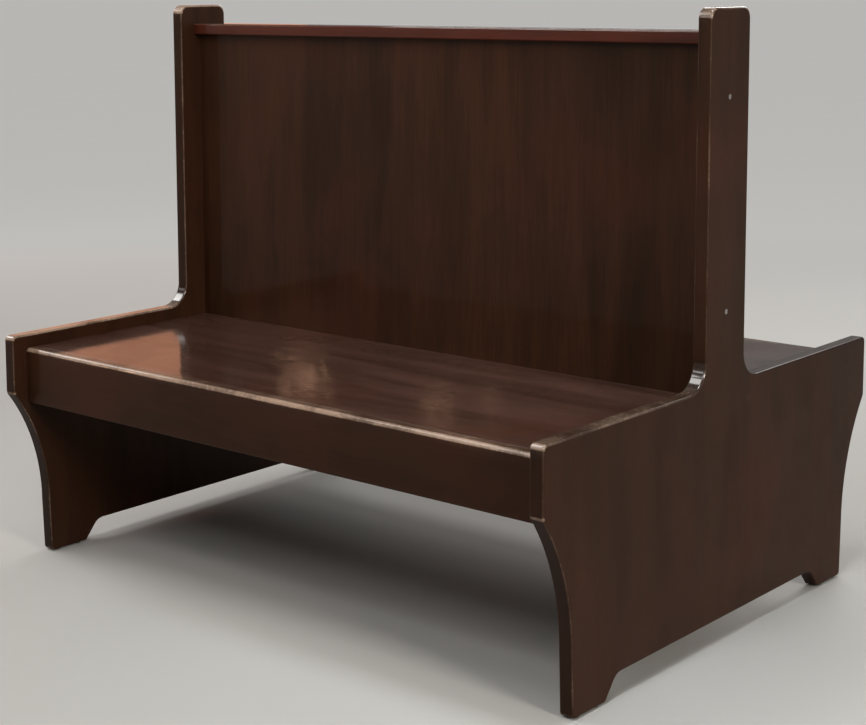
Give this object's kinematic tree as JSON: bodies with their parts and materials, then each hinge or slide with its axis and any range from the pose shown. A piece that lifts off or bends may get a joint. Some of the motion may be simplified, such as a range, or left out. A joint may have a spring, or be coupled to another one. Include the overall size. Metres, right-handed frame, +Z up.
{
  "type": "restaurant booth",
  "caption": "Double-sided wooden restaurant booth: two bench seats back to back, with a tall flat back between two shaped end panels that stand on arched feet.",
  "frame": {"origin": "on the floor, under the middle of the booth", "axes": "+X along the seats, +Y from the front seat to the rear seat, +Z up"},
  "size_m": [1.4, 1.14, 1.18],
  "materials": {
    "stained_wood": "dark brown stain under satin varnish, worn at the edges",
    "framing_wood": "unfinished softwood",
    "screw_steel": "zinc-plated",
    "glide_nylon": "moulded nylon"
  },
  "bodies": {
    "root": {"left_end_panel": "stained_wood", "right_end_panel": "stained_wood", "back_panel": "stained_wood", "top_rail": "stained_wood", "front_seat_board": "stained_wood", "rear_seat_board": "stained_wood", "front_apron": "stained_wood", "rear_apron": "stained_wood", "front_left_cleat": "framing_wood", "front_right_cleat": "framing_wood", "rear_left_cleat": "framing_wood", "rear_right_cleat": "framing_wood", "front_ledger": "framing_wood", "rear_ledger": "framing_wood", "front_brace": "framing_wood", "rear_brace": "framing_wood", "front_brace_blocks": "framing_wood", "rear_brace_blocks": "framing_wood", "front_corner_blocks": "framing_wood", "rear_corner_blocks": "framing_wood", "front_glue_blocks": "framing_wood", "rear_glue_blocks": "framing_wood", "post_screws": "screw_steel", "seat_end_screws": "screw_steel", "seat_end_plugs": "stained_wood", "cleat_screws": "screw_steel", "ledger_screws": "screw_steel", "seat_fixing_screws": "screw_steel", "glide_pads": "glide_nylon", "glide_nails": "screw_steel"}
  },
  "joints": []
}
